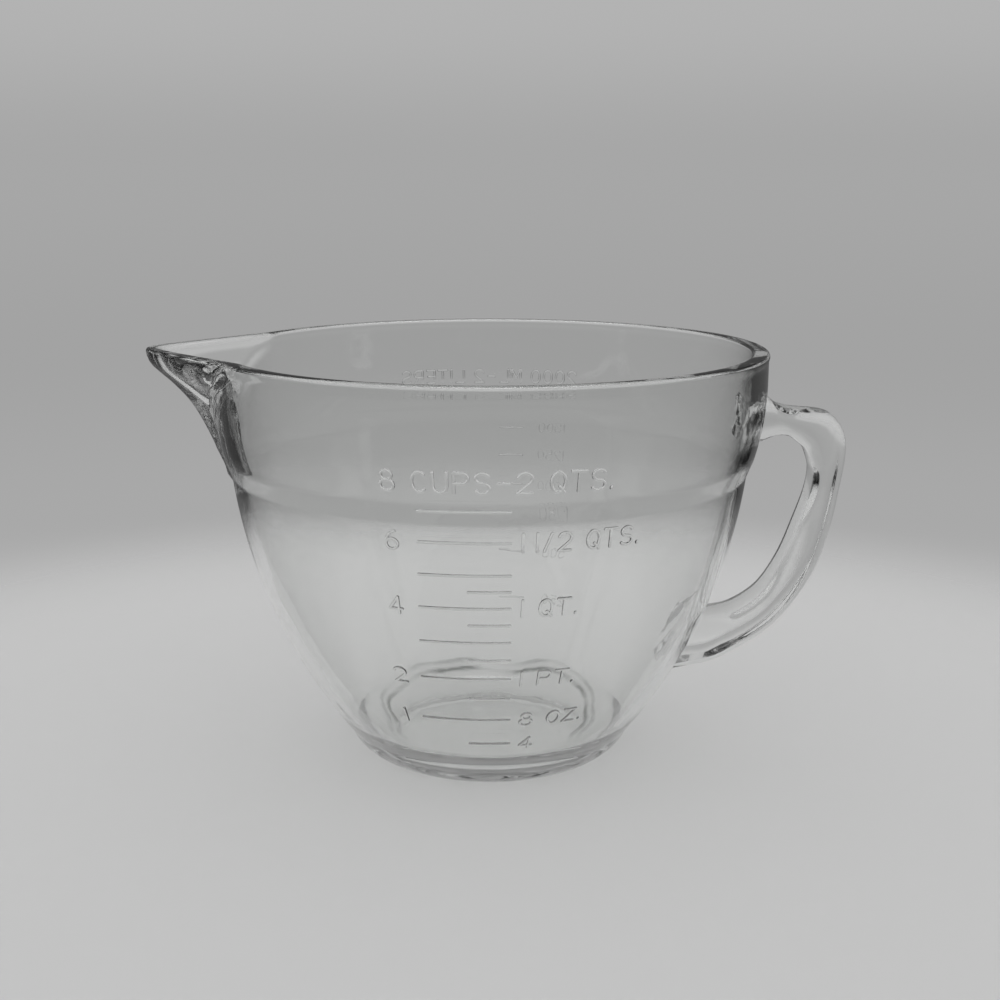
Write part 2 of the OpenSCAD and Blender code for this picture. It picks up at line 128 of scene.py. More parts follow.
# Ripples stand on the floor's bend, between these two radii, so its steps are finer there.
settle_near_r, settle_far_r = 31 * mm, 50 * mm
hollow_steps, heel_steps, wall_out_steps, wall_in_steps = 8, 8, 34, 30
shoulder_steps, collar_steps, rim_steps, crease_steps = 3, 20, 7, 4
bend_steps, settle_steps, bend_end_steps = 4, 28, 2
inside_bend = wall_bend - wall_t
corner_z = floor_z + floor_bend
corner_r = bend_r + math.sqrt((inside_bend - floor_bend) ** 2 - (bend_z - corner_z) ** 2)
corner_turn = math.atan2(bend_z - corner_z, corner_r - bend_r)
corner_top_z = corner_z - floor_bend * math.sin(corner_turn)
shoulder_in_r, rim_in_r = arc_r(inside_bend, shoulder_z), rim_r - bead_t
bead_mid_r = rim_r - bead_t / 2
heel_turn = math.acos((heel_bend - heel_z) / heel_bend)

outline = [(hollow_r * s, hollow_d * (1 - s**2)) for s in run(0, 1, hollow_steps)[:-1]]
creases = []
outline += [(hollow_r, 0), ((hollow_r + foot_r) / 2, 0)]
outline += [(foot_r + heel_bend * math.sin(a), heel_bend * (1 - math.cos(a)))
            for a in run(0, heel_turn, heel_steps)[:-1]]
creases.append(len(outline))
outline += [(arc_r(wall_bend, z), z) for z in run(heel_z, shoulder_z, wall_out_steps)]
creases.append(len(outline) - 1)
outline += [(outside_r(z), z) for z in run(shoulder_z, shoulder_top_z, shoulder_steps)[1:]]
creases.append(len(outline) - 1)
outline += [(collar_out_r(z), z) for z in run(shoulder_top_z, bead_z, collar_steps)[1:]]
outline += [(rim_r - bead_corner * (1 - math.cos(a)), rim_z - bead_corner * (1 - math.sin(a)))
            for a in run(0, math.pi / 2, rim_steps)]
outline += [(bead_mid_r, rim_z)]
outline += [(rim_in_r + bead_corner * (1 - math.cos(a)), rim_z - bead_corner * (1 - math.sin(a)))
            for a in run(math.pi / 2, 0, rim_steps)]
outline += [(collar_in_r(z), z) for z in run(bead_z, shoulder_top_z, collar_steps)]
outline += [(shoulder_in_r, shoulder_z)]
outline += [(arc_r(inside_bend, z), z) for z in run(shoulder_z, corner_top_z, wall_in_steps)[1:]]
settle_turns = [math.acos((r - corner_r) / floor_bend) for r in (settle_far_r, settle_near_r)]
outline += [(corner_r + floor_bend * math.cos(a), corner_z - floor_bend * math.sin(a))
            for a in run(corner_turn, settle_turns[0], bend_steps)[1:-1] + run(*settle_turns, settle_steps)
            + run(settle_turns[1], math.pi / 2, bend_end_steps)[1:]]
outline += [(corner_r * 2 / 3, floor_z), (corner_r / 3, floor_z), (0, floor_z)]
# The creases at the heel and along the shoulder are fire-polished round.
for at in reversed(creases):
    before, corner, after = (Vector(outline[i]) for i in (at - 1, at, at + 1))
    start = corner + (before - corner).normalized() * crease_reach
    end = corner + (after - corner).normalized() * crease_reach
    outline[at : at + 1] = [tuple(start.lerp(corner, s).lerp(corner.lerp(end, s), s))
                            for s in run(0, 1, crease_steps)]


def clear_selection():
    """Nothing stays selected, so that the next operator acts on its own mesh alone."""
    bpy.ops.object.select_all(action="DESELECT")


def edit(obj, mode="VERT"):
    """Opens a mesh for editing with everything selected."""
    bpy.context.view_layer.objects.active = obj
    obj.select_set(True)
    bpy.ops.object.mode_set(mode="EDIT")
    bpy.ops.mesh.select_mode(type=mode)
    bpy.ops.mesh.select_all(action="SELECT")


def close():
    """Leaves edit mode, which writes the shape to the mesh."""
    bpy.ops.object.mode_set(mode="OBJECT")


# A small plane is merged to one point, which is extruded along the outline. The spout's
# sector is spun in finer steps than the rest. One sixth of the circle next to it is spun too,
# and is then copied round the other four sixths.
sixth = math.radians(60)
spout_steps, rest_steps, start_size = 120, 40, 2 * mm
clear_selection()
bpy.ops.mesh.primitive_plane_add(size=start_size)
bowl = bpy.context.object
bowl.name = "glass_bowl"
edit(bowl)
bpy.ops.mesh.merge(type="CENTER")
at = Vector((0, 0, 0))
start_turn = math.pi - sixth / 2
for r, z in outline:
    point = Vector((r * math.cos(start_turn), r * math.sin(start_turn), z))
    if at == Vector((0, 0, 0)):
        bpy.ops.transform.translate(value=point)
    else:
        bpy.ops.mesh.extrude_vertices_move(TRANSFORM_OT_translate={"value": point - at})
    at = point
bpy.ops.mesh.select_all(action="SELECT")
bpy.ops.mesh.spin(steps=spout_steps, angle=-sixth, center=(0, 0, 0), axis=(0, 0, 1))
bpy.ops.mesh.spin(steps=rest_steps, angle=-sixth, center=(0, 0, 0), axis=(0, 0, 1))
bpy.ops.mesh.select_all(action="DESELECT")
close()
for vertex in bowl.data.vertices:
    turn = math.atan2(vertex.co.y, vertex.co.x)
    in_sixth = -5 * sixth / 2 - seam < turn < -3 * sixth / 2 + seam
    vertex.select = in_sixth or vertex.co.xy.length <= seam
bpy.ops.object.mode_set(mode="EDIT")
bpy.ops.mesh.spin(steps=4, angle=-4 * sixth, dupli=True, center=(0, 0, 0), axis=(0, 0, 1))
bpy.ops.mesh.select_all(action="SELECT")
bpy.ops.mesh.remove_doubles(threshold=seam)
bpy.ops.mesh.normals_make_consistent(inside=False)
close()

# Where the gob settled round the plunger's end, two lumpy ripples stay on the inside of the
# floor. They are strongest at the back and fade out towards the front. Each lump has its size,
# its count round the ring and its start.
settle_low_z, settle_climb = 5 * mm, 0.1
settle_r, settle_w, settle_rise, settle_shift = 36.5 * mm, 5.5 * mm, 0.45 * mm, 9 * mm
settle_lumps = [(1.6 * mm, 4, -1.57), (0.6 * mm, 7, 1), (0.5 * mm, 11, 2.3)]
settle_fade_y, settle_full_y = -22 * mm, -4 * mm
for vertex in bowl.data.vertices:
    x, y, z = vertex.co
    if z < settle_low_z + settle_climb * y or math.hypot(x, y) > settle_far_r:
        continue
    turn = math.atan2(y, x)
    lumps = sum(size * math.sin(count * turn + start) for size, count, start in settle_lumps)
    place = clamp((math.hypot(x, y - settle_shift) - settle_r - lumps) / settle_w)
    strength = clamp((y - settle_fade_y) / (settle_full_y - settle_fade_y))
    vertex.co.z += settle_rise * strength * math.sin(2 * math.pi * place) ** 2

# The pouring spout. It is pressed in the same mould: outside a keel that grows out of the
# wall, inside a flat-sided trough. At each height its plan is two straight sides that meet
# at a rounded nose, so the body's points are moved outwards to that plan.
spout_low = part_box("pour_spout")[0]
spout_reach = -spout_low.x - rim_r
trough_d, trough_reach = 16 * mm, 24.6 * mm
trough_low_z = rim_z - trough_d
# Turns are in degrees from the spout's middle, seen from above.
lip_half_turn, fold_turn, fold_w = 26, 4, 1.2 * mm
nose_turn, nose_steps = 3.2, 8
nose_shares = [(0, 0), (0.04, 0.085), (0.1, 0.14), (0.25, 0.155), (0.36, 0.18), (0.48, 0.24),
               (0.6, 0.335), (0.7, 0.46), (0.8, 0.64), (0.88, 0.82), (0.94, 0.945), (1, 1)]


def spline(points, i, t):
    """A smooth curve through a list of points, from point i at t = 0 to the next at t = 1."""
    last = len(points) - 1
    a, b, c, d = (Vector(points[min(max(k, 0), last)]) for k in (i - 1, i, i + 1, i + 2))
    return (b + (c - a) * t / 2 + (2 * a - 5 * b + 4 * c - d) * t**2 / 2
            + (3 * b - a - 3 * c + d) * t**3 / 2)


nose_curve = [spline(nose_shares, i, t) for i in range(len(nose_shares) - 1)
              for t in run(0, 1, nose_steps)[:-1]] + [Vector((1, 1))]


def side_angle(base, reach):
    """Angle between the spout's middle and its straight side, seen from above."""
    half = math.radians(lip_half_turn)
    return math.atan2(base * math.sin(half), base + reach - base * math.cos(half))


def grow(base, nose, side, turn):
    """How far a point of radius base moves out, at an angle in degrees from the middle. The
    fold where the spout leaves the wall is rounded over fold_w."""
    rounded = math.radians(math.hypot(turn, nose_turn) - nose_turn)
    plan_r = nose * math.sin(side) / math.sin(rounded + side)
    near = max(fold_w - abs(plan_r - base), 0) / fold_w
    run_out = math.cos(math.pi / 2 * clamp((abs(turn) - lip_half_turn) / fold_turn)) ** 2
    return run_out * (max(plan_r, base) + near**2 * fold_w / 4 - base)


keel_side = side_angle(rim_r, spout_reach)
trough_side = side_angle(rim_in_r, trough_reach)
for vertex in bowl.data.vertices:
    x, y, z = vertex.co
    turn = math.degrees(math.atan2(y, -x))
    if abs(turn) >= lip_half_turn + fold_turn or z <= spout_low.z:
        continue
    r = math.hypot(x, y)
    inside = r < outside_r(z) - wall_t / 2
    across = clamp((rim_r - r) / bead_t) if z > bead_z + seam else float(inside)
    up = clamp((z - spout_low.z) / (bead_z - spout_low.z))
    keel = np.interp(up, [p.x for p in nose_curve], [p.y for p in nose_curve])
    trough = max((z - trough_low_z) / (rim_z - trough_low_z), 0)
    moved = 0
    if keel > 0:
        moved += (1 - across) * grow(r, r + spout_reach * keel, keel_side, turn)
    if trough > 0:
        moved += across * grow(r, r + trough_reach * trough, trough_side, turn)
    vertex.co.xy *= (r + moved) / r

# The handle. A strap of the same glass, pressed with the bowl: it leaves the collar, turns
# down past the fingers and runs back into the wall above the heel. A straight round blank
# is extruded ring by ring and each ring is then laid between the outer and inner contour. The
# outer one's smooth curve swells a little past its points.
curve_swell = 0.2 * mm
handle_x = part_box("handle")[1].x - curve_swell
handle_top_z, handle_low_z = rim_z - 17.4 * mm, 29.4 * mm
handle_w, root_flare = 20 * mm, 5 * mm
handle_sides, span_rings = 24, 6
corner_power = 0.55
handle_out_shares = [
    (-0.085, 1.01), (0.067, 1), (0.159, 0.979), (0.363, 0.961), (0.74, 0.951), (0.885, 0.924),
    (0.975, 0.875), (1, 0.81), (0.961, 0.697), (0.884, 0.518), (0.759, 0.34), (0.534, 0.159),
    (0.244, 0.037), (0.059, 0.007), (-0.04, -0.008)]
handle_in_shares = [
    (-0.085, 0.83), (0.071, 0.85), (0.194, 0.867), (0.34, 0.865), (0.458, 0.842), (0.57, 0.814),
    (0.64, 0.773), (0.68, 0.729), (0.663, 0.65), (0.586, 0.538), (0.506, 0.412), (0.403, 0.299),
    (0.257, 0.231), (0.1, 0.208), (-0.04, 0.2)]
flare_shares = [1, 0.7, 0.35, 0.1, 0, 0, 0, 0, 0, 0, 0.05, 0.3, 0.75, 1, 1]


def handle_point(across, up):
    """A point of a contour, from its shares of the way from the wall and of the height."""
    z = mix(handle_low_z, handle_top_z, up)
    return Vector((mix(outside_r(z), handle_x, across), z))


def oblong(v):
    """Pushes a circle's point out towards the corners of a rounded oblong."""
    return math.copysign(abs(v) ** corner_power, v)


out_contour = [handle_point(*share) for share in handle_out_shares]
in_contour = [handle_point(*share) for share in handle_in_shares]
ring_count = (len(out_contour) - 1) * span_rings
clear_selection()
bpy.ops.mesh.primitive_circle_add(vertices=handle_sides, radius=1, fill_type="NGON",
                                  rotation=(0, 0, math.pi / handle_sides))
handle = bpy.context.object
handle.name = "strap_handle"
bpy.ops.object.transform_apply(location=True, rotation=True, scale=True)
edit(handle, "FACE")
for ring in range(ring_count):
    bpy.ops.mesh.extrude_region_move(TRANSFORM_OT_translate={"value": (0, 0, 1)})
close()
for vertex in handle.data.vertices:
    ring = round(vertex.co.z)
    i = min(ring // span_rings, len(out_contour) - 2)
    t = ring / span_rings - i
    out, inner = spline(out_contour, i, t), spline(in_contour, i, t)
    place = mix(inner, out, (1 + oblong(vertex.co.x)) / 2)
    flare = (1 - t) * flare_shares[i] + t * flare_shares[i + 1]
    half_w = (handle_w + root_flare * flare) / 2
    vertex.co = Vector((place.x, half_w * oblong(vertex.co.y), place.y))
edit(handle)
bpy.ops.mesh.normals_make_consistent(inside=False)
close()

# The raised scales. Numbers, unit words and lines are cut into the mould, so they stand on
# the glass as half-round ridges. Every stroke is a round bead sunk to its middle in the wall.
# The metric lines and figures at the back are cut finer. A cup figure is given with its line
# and with its place, as a share of the figures' usual place, and a unit word with its line.
ridge_share = 0.085
line_ridge_r, metric_ridge_share = 0.52 * mm, 0.6
cup_line_shares = [0.302, 0.455, 0.581, 0.692, 0.794, 0.891, 0.984]
half_cup_shares = [0.204, 0.384, 0.521, 0.638, 0.744]
metric_line_shares = [0.312, 0.471, 0.601, 0.716, 0.823, 0.923]
line_left, line_right = 21.5 * mm, 6.3 * mm
metric_line_near, metric_line_l, metric_far = 4.4 * mm, 10 * mm, 32.5 * mm
title_h, figure_h, metric_title_h, metric_h = 6.4 * mm, 5.8 * mm, 5.3 * mm, 3.7 * mm
title_rise, metric_title_rise = 7.5 * mm, 12.1 * mm
title_left, figure_left, words_left = 33.1 * mm, 28.7 * mm, 9.8 * mm
letter_share, narrow_share, slash_share, gap_share, space_share = 0.7, 0.1, 0.5, 0.28, 0.3
cup_figures = [("1", 0, 0.965), ("2", 1, 1.005), ("4", 3, 1.02), ("6", 5, 1.04)]
unit_words = [("8 OZ.", 0), ("1 PT.", 1), ("1 QT.", 3), ("1_1/2 QTS.", 5)]
metric_title = "2000 ML-2 LITERS"
metric_figures = ["250", "500", "750", "1000", "1250", "1500"]
front_turn, back_turn = -90, 90
arc_step, line_step = 20, 1.5 * mm


def arc(mid, radii, low, high):
    """Part of an ellipse, from one angle in degrees to another, as shares of a letter's height."""
    steps = math.ceil(abs(high - low) / arc_step)
    return [(mid[0] + radii[0] * math.cos(math.radians(a)), mid[1] + radii[1] * math.sin(math.radians(a)))
            for a in run(low, high, steps)]


def loop(mid, radii):
    """A whole ellipse, which starts and ends at its top."""
    return arc(mid, radii, 90, 450)


# Each letter is a list of strokes, in shares of its height from its lower left corner.
bow = [[(0.02, 0), (0.02, 1)], [(0.02, 1)] + arc((0.4, 0.74), (0.28, 0.26), 90, -90) + [(0.02, 0.48)]]
letters = {
    "0": [loop((0.35, 0.5), (0.33, 0.5))],
    "O": [loop((0.35, 0.5), (0.33, 0.5))],
    "1": [[(0.05, 0), (0.05, 1)]],
    "I": [[(0.05, 0), (0.05, 1)]],
    "2": [arc((0.35, 0.7), (0.33, 0.3), 165, -35) + [(0.02, 0)], [(0.02, 0), (0.68, 0)]],
    "4": [[(0.52, 0), (0.52, 1)], [(0.52, 1), (0.02, 0.28)], [(0.02, 0.28), (0.7, 0.28)]],
    "5": [[(0.62, 1), (0.12, 1)], [(0.12, 1), (0.08, 0.56)],
          [(0.08, 0.56)] + arc((0.33, 0.33), (0.34, 0.33), 110, -145)],
    "6": [loop((0.35, 0.29), (0.32, 0.29)), arc((0.62, 0.33), (0.59, 0.68), 100, 180)],
    "7": [[(0, 1), (0.68, 1)], [(0.68, 1), (0.22, 0)]],
    "8": [loop((0.35, 0.76), (0.26, 0.24)), loop((0.35, 0.27), (0.33, 0.27))],
    "C": [arc((0.36, 0.5), (0.34, 0.5), 48, 312)],
    "E": [[(0.02, 0), (0.02, 1)], [(0.02, 1), (0.62, 1)], [(0.02, 0), (0.62, 0)],
          [(0.02, 0.52), (0.54, 0.52)]],
    "L": [[(0.02, 1), (0.02, 0)], [(0.02, 0), (0.62, 0)]],
    "M": [[(0, 0), (0, 1)], [(0, 1), (0.35, 0.35)], [(0.35, 0.35), (0.7, 1)], [(0.7, 1), (0.7, 0)]],
    "P": bow,
    "Q": [loop((0.35, 0.5), (0.33, 0.5)), [(0.42, 0.28), (0.68, -0.04)]],
    "R": bow + [[(0.36, 0.48), (0.68, 0)]],
    "S": [arc((0.35, 0.75), (0.31, 0.25), 25, 250) + arc((0.35, 0.25), (0.33, 0.25), 70, -150)],
    "T": [[(0, 1), (0.7, 1)], [(0.35, 1), (0.35, 0)]],
    "U": [[(0.02, 1)] + arc((0.35, 0.34), (0.33, 0.34), 180, 360) + [(0.68, 1)]],
    "Z": [[(0.02, 1), (0.66, 1)], [(0.66, 1), (0.02, 0)], [(0.02, 0), (0.68, 0)]],
    "-": [[(0.1, 0.48), (0.6, 0.48)]],
    "/": [[(0.04, 0), (0.42, 1)]],
    ".": [[(0.05, 0.02), (0.05, 0.08)]],
}
widths = {" ": space_share, "/": slash_share}
widths.update({letter: narrow_share for letter in "1I._"})


def on_wall(side_turn, across, z):
    """A point on the wall: across is the arc length from the middle of the front or the back."""
    r = outside_r(z)
    turn = math.radians(side_turn) + across / r
    return Vector((r * math.cos(turn), r * math.sin(turn), z))


def wall_line(side_turn, z, left, right):
    """A level line on the glass from left to right of the middle of a side."""
    steps = math.ceil((left + right) / line_step)
    return [on_wall(side_turn, across, z) for across in run(-left, right, steps)]


def lettering(words, side_turn, height, left, z, fineness=1):
    """Adds the strokes of a line of words to the layers, a letter's strokes to one layer each."""
    start = left
    for letter in words:
        width = widths.get(letter, letter_share)
        middle = start + width * height / 2
        turn = math.degrees(middle / outside_r(z))
        lean = math.atan2(outside_r(z + mm) - outside_r(z - mm), 2 * mm)
        for layer, stroke in enumerate(letters.get(letter, [])):
            ridges[layer].append(([on_wall(side_turn + turn, (u - width / 2) * height,
                                           z + (v - 0.5) * height * math.cos(lean))
                                   for u, v in stroke], ridge_share * height * fineness))
        start += (width + gap_share) * height


def words_length(words, height):
    """Length of a line of words on the wall, without the gap after its last letter."""
    return (sum(widths.get(c, letter_share) + gap_share for c in words) - gap_share) * height


ridges = [[] for layer in range(max(len(strokes) for strokes in letters.values()))]
for share in cup_line_shares:
    ridges[0].append((wall_line(front_turn, share * shoulder_top_z, line_left, line_right), line_ridge_r))
for share in half_cup_shares:
    ridges[0].append((wall_line(front_turn, share * shoulder_top_z, line_right, line_right),
                      line_ridge_r))
for share in metric_line_shares:
    ridges[0].append((wall_line(back_turn, share * shoulder_top_z, metric_line_near + metric_line_l,
                                -metric_line_near), line_ridge_r * metric_ridge_share))
lettering("8 CUPS-2 QTS.", front_turn, title_h, -title_left, shoulder_top_z + title_rise)
for figure, line, place in cup_figures:
    left = place * figure_left + words_length(figure, figure_h) / 2
    lettering(figure, front_turn, figure_h, -left, cup_line_shares[line] * shoulder_top_z)
lettering("4", front_turn, figure_h, words_left, half_cup_shares[0] * shoulder_top_z)
for words, line in unit_words:
    lettering(words, front_turn, figure_h, words_left, cup_line_shares[line] * shoulder_top_z)
lettering(metric_title, back_turn, metric_title_h, -words_length(metric_title, metric_title_h) / 2,
          shoulder_top_z + metric_title_rise)
for figure, share in zip(metric_figures, metric_line_shares):
    lettering(figure, back_turn, metric_h, -metric_far, share * shoulder_top_z, metric_ridge_share)

# A stroke's bead swells over its first and last steps, so its ends are round. A step has its
# distance past the end and its thickness, as shares of the bead's radius.
end_steps = [(0.95, 0.35), (0.75, 0.7), (0.4, 0.92)]
ridge_beads = []
for layer, strokes in enumerate(ridges):
    curve = bpy.data.curves.new(f"ridge_beads_{layer}", "CURVE")
    curve.dimensions = "3D"
    curve.bevel_mode = "ROUND"
    curve.bevel_depth = 1
    curve.bevel_resolution = 4
    curve.use_fill_caps = True
    for points, bead_r in strokes:
        closed = (points[0] - points[-1]).length < seam
        if closed:
            beads = [(p, 1) for p in points[:-1]]
        else:
            first, last = (points[0] - points[1]).normalized(), (points[-1] - points[-2]).normalized()
            beads = [(points[0] + first * bead_r * far, share) for far, share in end_steps]
            beads += [(p, 1) for p in points]
            beads += [(points[-1] + last * bead_r * far, share) for far, share in reversed(end_steps)]
        spline_bead = curve.splines.new("POLY")
        spline_bead.points.add(len(beads) - 1)
        spline_bead.use_cyclic_u = closed
        for point, (place, share) in zip(spline_bead.points, beads):
            point.co = (*place, 1)
            point.radius = bead_r * share
    bead = bpy.data.objects.new(f"ridge_beads_{layer}", curve)
    bpy.context.scene.collection.objects.link(bead)
    clear_selection()
    bead.select_set(True)
    bpy.context.view_layer.objects.active = bead
    bpy.ops.object.convert(target="MESH")
    edit(bead)
    bpy.ops.mesh.remove_doubles(threshold=seam)
    bpy.ops.mesh.normals_make_consistent(inside=False)
    close()
    ridge_beads.append(bead)

# The glass. Bowl, handle and scales are one pressing, so their skins are united into one
# closed skin with nothing left inside it. Each face keeps the smooth normals of the form that
# it was cut from, so the cuts round the ridges and the handle's roots don't show.
forms = [bowl, handle] + ridge_beads
form_shapes = []
for number, form in enumerate(forms):
    mesh = form.data
    mesh.attributes.new("form", "INT", "FACE").data.foreach_set("value", [number] * len(mesh.polygons))
    places = [vertex.co.copy() for vertex in mesh.vertices]
    faces = [tuple(face.vertices) for face in mesh.polygons]
    form_shapes.append((BVHTree.FromPolygons(places, faces), places, faces,
                        [vertex.normal.copy() for vertex in mesh.vertices]))
for form in forms[1:]:
    bpy.context.view_layer.objects.active = bowl
    union = bowl.modifiers.new("union", "BOOLEAN")
    union.operation = "UNION"
    union.solver = "MANIFOLD"
    union.object = form
    bpy.ops.object.modifier_apply(modifier="union")
    bpy.data.objects.remove(form)


def form_normal(number, place):
    """Smooth normal of one of the uncut forms at a place on it."""
    tree, places, faces, normals = form_shapes[number]
    nearest, _, index, _ = tree.find_nearest(place)
    corners = faces[index]
    weights = poly_3d_calc([places[i] for i in corners], nearest)
    return sum((normals[i] * w for i, w in zip(corners, weights)), Vector()).normalized()


glass = bowl.data
form_of = [item.value for item in glass.attributes["form"].data]
known_normals = {}
corner_normals = []
for face in glass.polygons:
    for i in face.vertices:
        key = (form_of[face.index], i)
        if key not in known_normals:
            known_normals[key] = form_normal(key[0], glass.vertices[i].co)
        corner_normals.append(known_normals[key])
glass.attributes.remove(glass.attributes["form"])
glass.shade_smooth()
glass.normals_split_custom_set(corner_normals)


class Socket:
    """Wraps a node's output, so that shader maths reads as an expression."""

    def __init__(self, tree, socket):
        self.tree, self.socket = tree, socket

    def maths(self, operation, *others):
        values = {f"i{i}": value for i, value in enumerate((self, *others))}
        return node(self.tree, "ShaderNodeMath", {"operation": operation}, **values)

    def __add__(self, other):
        return self.maths("ADD", other)

    def __mul__(self, other):
        return self.maths("MULTIPLY", other)

    def __sub__(self, other):
        return self.maths("SUBTRACT", other)

    def __rsub__(self, other):
        return self * -1 + other

    __radd__, __rmul__ = __add__, __mul__


def set_stops(ramp, stops):
    """Grey tones at places from 0 to 1, with smooth passages between them."""
    ramp.interpolation = "EASE"
    while len(ramp.elements) < len(stops):
        ramp.elements.new(0.5)
    for element, (place, tone) in zip(ramp.elements, stops):
        element.position = place
        element.color = (tone, tone, tone, 1)


def node(tree, kind, settings=None, output=0, **values):
    """Any other node: its settings first, then the values or links of its sockets, by name
    or by number as i0, i1 and so on."""
    made = tree.nodes.new(kind)
    for name, value in (settings or {}).items():
        if name == "stops":
            set_stops(made.color_ramp, value)
        else:
            setattr(made, name, value)
    for name, value in values.items():
        slot = made.inputs[int(name[1:]) if name[1:].isdigit() else name]
        if isinstance(value, Socket):
            tree.links.new(value.socket, slot)
        else:
            slot.default_value = value
    return Socket(tree, made.outputs[output]) if len(made.outputs) else None


# The glass's own looks: its skin waves a little from the mould and from the fire polish.
wave_scale, polish_scale, polish_share = 38, 260, 0.04
skin_strength, skin_depth = 0.5, 0.6 * mm
patch_scale = 52
ripple_shade_stops = [(0, 0), (0.22, 1), (0.55, 0.12), (0.75, 0.6), (1, 0)]
patch_stops = [(0.34, 0.2), (0.58, 1)]
# The second colour is painted shade for the floor's ripples; the glass itself is clear there.
clear_tint, ripple_painted_shade = (0.985, 0.99, 0.985, 1), (0.12, 0.13, 0.12, 1)
shadow_tint = (0.98, 0.985, 0.98, 1)
glass_ior = 1.51
clear_glass = bpy.data.materials.new("clear_glass")
clear_glass.use_nodes = True
tree = clear_glass.node_tree
tree.nodes.clear()
where = node(tree, "ShaderNodeTexCoord", output="Object")
mould_waves = node(tree, "ShaderNodeTexNoise", {"noise_dimensions": "3D"}, Vector=where,
                   Scale=wave_scale, Detail=1, Roughness=0.4)
fire_polish = node(tree, "ShaderNodeTexNoise", {"noise_dimensions": "3D"}, Vector=where,
                   Scale=polish_scale, Detail=1, Roughness=0.5)
skin = node(tree, "ShaderNodeBump", Strength=skin_strength, Distance=skin_depth,
            Height=mould_waves + polish_share * fire_polish)
# Ripples in a real floor look darker than their bends alone make them here, so painted shade
# darkens the glass's colour along them, in patches, and only on the inside of the floor.
flat = node(tree, "ShaderNodeVectorMath", {"operation": "MULTIPLY_ADD"}, i0=where, i1=(1, 1, 0),
            i2=(0, -settle_shift, 0))
from_middle = node(tree, "ShaderNodeVectorMath", {"operation": "LENGTH"}, output="Value", i0=flat)
x, y, z = (node(tree, "ShaderNodeSeparateXYZ", output=axis, Vector=where) for axis in "XYZ")
turn = y.maths("ARCTAN2", x)
lumps = sum((turn * count + start).maths("SINE") * size for size, count, start in settle_lumps)
place = (from_middle - settle_r - lumps) * (1 / settle_w)
ripple_shade_mask = node(tree, "ShaderNodeValToRGB", {"stops": ripple_shade_stops}, i0=place)
patches = node(tree, "ShaderNodeTexNoise", {"noise_dimensions": "3D"}, Vector=where,
               Scale=patch_scale, Detail=1, Roughness=0.5)
unevenness = node(tree, "ShaderNodeValToRGB", {"stops": patch_stops}, i0=patches)
strength = node(tree, "ShaderNodeMapRange", {"interpolation_type": "SMOOTHSTEP"}, Value=y,
                **{"From Min": settle_fade_y, "From Max": settle_full_y})
on_floor = (z - y * settle_climb).maths("GREATER_THAN", settle_low_z)
tint_and_painted_shade = node(tree, "ShaderNodeMix", {"data_type": "RGBA"}, output=2,
            i0=ripple_shade_mask * unevenness * strength * on_floor, i6=clear_tint, i7=ripple_painted_shade)
glass_look = node(tree, "ShaderNodeBsdfPrincipled", Normal=skin, Roughness=0, IOR=glass_ior,
                  **{"Base Color": tint_and_painted_shade, "Transmission Weight": 1})
let_through = node(tree, "ShaderNodeBsdfTransparent", Color=shadow_tint)
shadow_ray = node(tree, "ShaderNodeLightPath", output="Is Shadow Ray")
surface = node(tree, "ShaderNodeMixShader", i0=shadow_ray, i1=glass_look, i2=let_through)
node(tree, "ShaderNodeOutputMaterial", Surface=surface)
glass.materials.clear()
glass.materials.append(clear_glass)
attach(bowl, "root")
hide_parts("bowl_floor", "foot_ring", "bowl_wall", "shoulder_band", "collar", "rim_bead",
            "pour_spout", "handle", "cup_lines", "half_cup_lines", "cup_heading", "cup_figures",
            "measure_words", "metric_lines", "metric_heading", "metric_figures")

# The floor is a round of matt paper. It fades into the studio's own tone away from the bowl,
# so that no edge shows from any side.
floor_r, floor_drop, floor_sides = 700 * mm, 0.02 * mm, 128
fade_near, fade_far = 200 * mm, 400 * mm
paper_tone = 0.55
clear_selection()
bpy.ops.mesh.primitive_circle_add(vertices=floor_sides, radius=floor_r, fill_type="NGON",
                                  location=(0, 0, -floor_drop))
paper = bpy.context.object
paper.name = "paper_floor"
bpy.ops.object.transform_apply(location=True)
matt_paper = bpy.data.materials.new("matt_paper")
matt_paper.use_nodes = True
tree = matt_paper.node_tree
tree.nodes.clear()
where = node(tree, "ShaderNodeTexCoord", output="Object")
away = node(tree, "ShaderNodeVectorMath", {"operation": "LENGTH"}, output="Value", i0=where)
fade = node(tree, "ShaderNodeMapRange", {"interpolation_type": "SMOOTHSTEP"}, Value=away,
            **{"From Min": fade_near, "From Max": fade_far})
paper_look = node(tree, "ShaderNodeBsdfDiffuse", Color=(paper_tone, paper_tone, paper_tone, 1))
gone = node(tree, "ShaderNodeBsdfTransparent")
surface = node(tree, "ShaderNodeMixShader", i0=fade, i1=paper_look, i2=gone)
node(tree, "ShaderNodeOutputMaterial", Surface=surface)
paper.data.materials.append(matt_paper)

# The studio round the bowl. Matt things are lit evenly. The camera and light that goes straight
# through the glass see a pale floor that rises into a slightly darker wall. Light that the glass
# bounces sees a dark room below and a soft ceiling above, and light that its outside mirrors
# sees a dark room with a small lamp high at the back.
lamp_direction, lamp_edge, lamp_core, lamp_tone = (0, 0.5, 0.866), 0.955, 0.985, 3
world = bpy.data.worlds.new("studio")
bpy.context.scene.world = world
world.use_nodes = True
tree = world.node_tree
tree.nodes.clear()
direction = node(tree, "ShaderNodeTexCoord", output="Generated")
height = node(tree, "ShaderNodeSeparateXYZ", output="Z", Vector=direction)


def tone_ramp(stops):
    """Grey tones by height of the direction: the sine of its angle above the horizon."""
    return node(tree, "ShaderNodeValToRGB", {"stops": [((sine + 1) / 2, tone) for sine, tone in stops]},
                i0=height * 0.5 + 0.5)


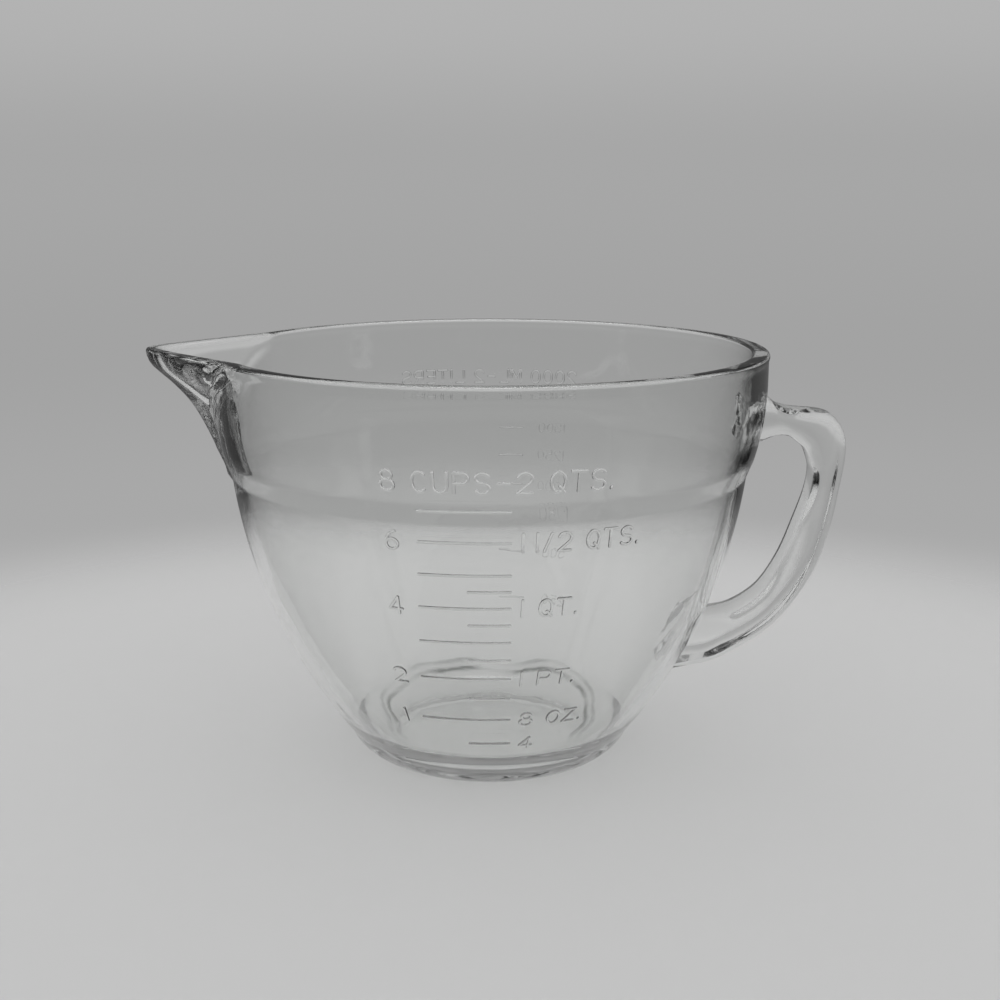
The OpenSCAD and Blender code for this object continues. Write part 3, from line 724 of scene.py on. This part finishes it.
clear_tones = tone_ramp([(-0.3, 0.51), (-0.225, 0.395), (-0.12, 0.365), (0.0, 0.385),
                         (0.1, 0.45), (0.2, 0.5)])
bounced_tones = tone_ramp([(-0.3, 0.0), (-0.05, 0.03), (0.1, 0.06), (0.2, 0.18), (0.35, 0.45),
                           (0.6, 0.38), (0.85, 0.26)])
mirrored_tones = tone_ramp([(-0.1, 0.15), (0.3, 0.08), (0.85, 0.06)])
lamp_at = node(tree, "ShaderNodeVectorMath", {"operation": "DOT_PRODUCT"}, output="Value",
               i0=direction, i1=lamp_direction)
lamp = node(tree, "ShaderNodeMapRange", {"interpolation_type": "SMOOTHSTEP"}, Value=lamp_at,
            **{"From Min": lamp_edge, "From Max": lamp_core})
mirrored_tones = mirrored_tones + lamp * lamp_tone


def path(output):
    """What kind of ray is looking, and how often it has met a surface of a kind."""
    return node(tree, "ShaderNodeLightPath", output=output)


bounced = path("Glossy Depth").maths("MINIMUM", 1) * path("Is Transmission Ray")
backgrounds = [node(tree, "ShaderNodeBackground", Color=colour, Strength=1)
               for colour in ((1, 1, 1, 1), clear_tones, bounced_tones, mirrored_tones)]
in_glass = node(tree, "ShaderNodeMixShader", i0=bounced, i1=backgrounds[1], i2=backgrounds[2])
off_paper = path("Diffuse Depth").maths("MINIMUM", 1)
seen = (path("Is Camera Ray") + path("Is Transmission Ray")) * (1 - off_paper)
lit = node(tree, "ShaderNodeMixShader", i0=seen, i1=backgrounds[0], i2=in_glass)
mirrored = path("Is Glossy Ray") * (1 - path("Is Transmission Ray"))
surroundings = node(tree, "ShaderNodeMixShader", i0=mirrored, i1=lit, i2=backgrounds[3])
node(tree, "ShaderNodeOutputWorld", Surface=surroundings)

# The camera stands in front of the cup scale, a little above the rim, and looks down.
lens_px, frame_px, axis_px = 1481, 1000, 489.3
camera_back, camera_up, camera_tilt = 515 * mm, 208.1 * mm, 12.89
camera_data = bpy.data.cameras.new("camera")
camera_data.sensor_width = 36
camera_data.lens = lens_px / frame_px * camera_data.sensor_width
camera_data.shift_x = 0.5 - axis_px / frame_px
camera_data.clip_start = 0.01
camera = bpy.data.objects.new("camera", camera_data)
camera.location = (0, -camera_back, camera_up)
camera.rotation_euler = (math.radians(90 - camera_tilt), 0, 0)
bpy.context.scene.collection.objects.link(camera)
bpy.context.scene.camera = camera
bpy.context.scene.view_settings.view_transform = "Standard"
# The heel and the rim lead light along many bounces, and turn black if it is cut short.
bpy.context.scene.cycles.max_bounces = 32
bpy.context.scene.cycles.glossy_bounces = 24
bpy.context.scene.cycles.transmission_bounces = 32
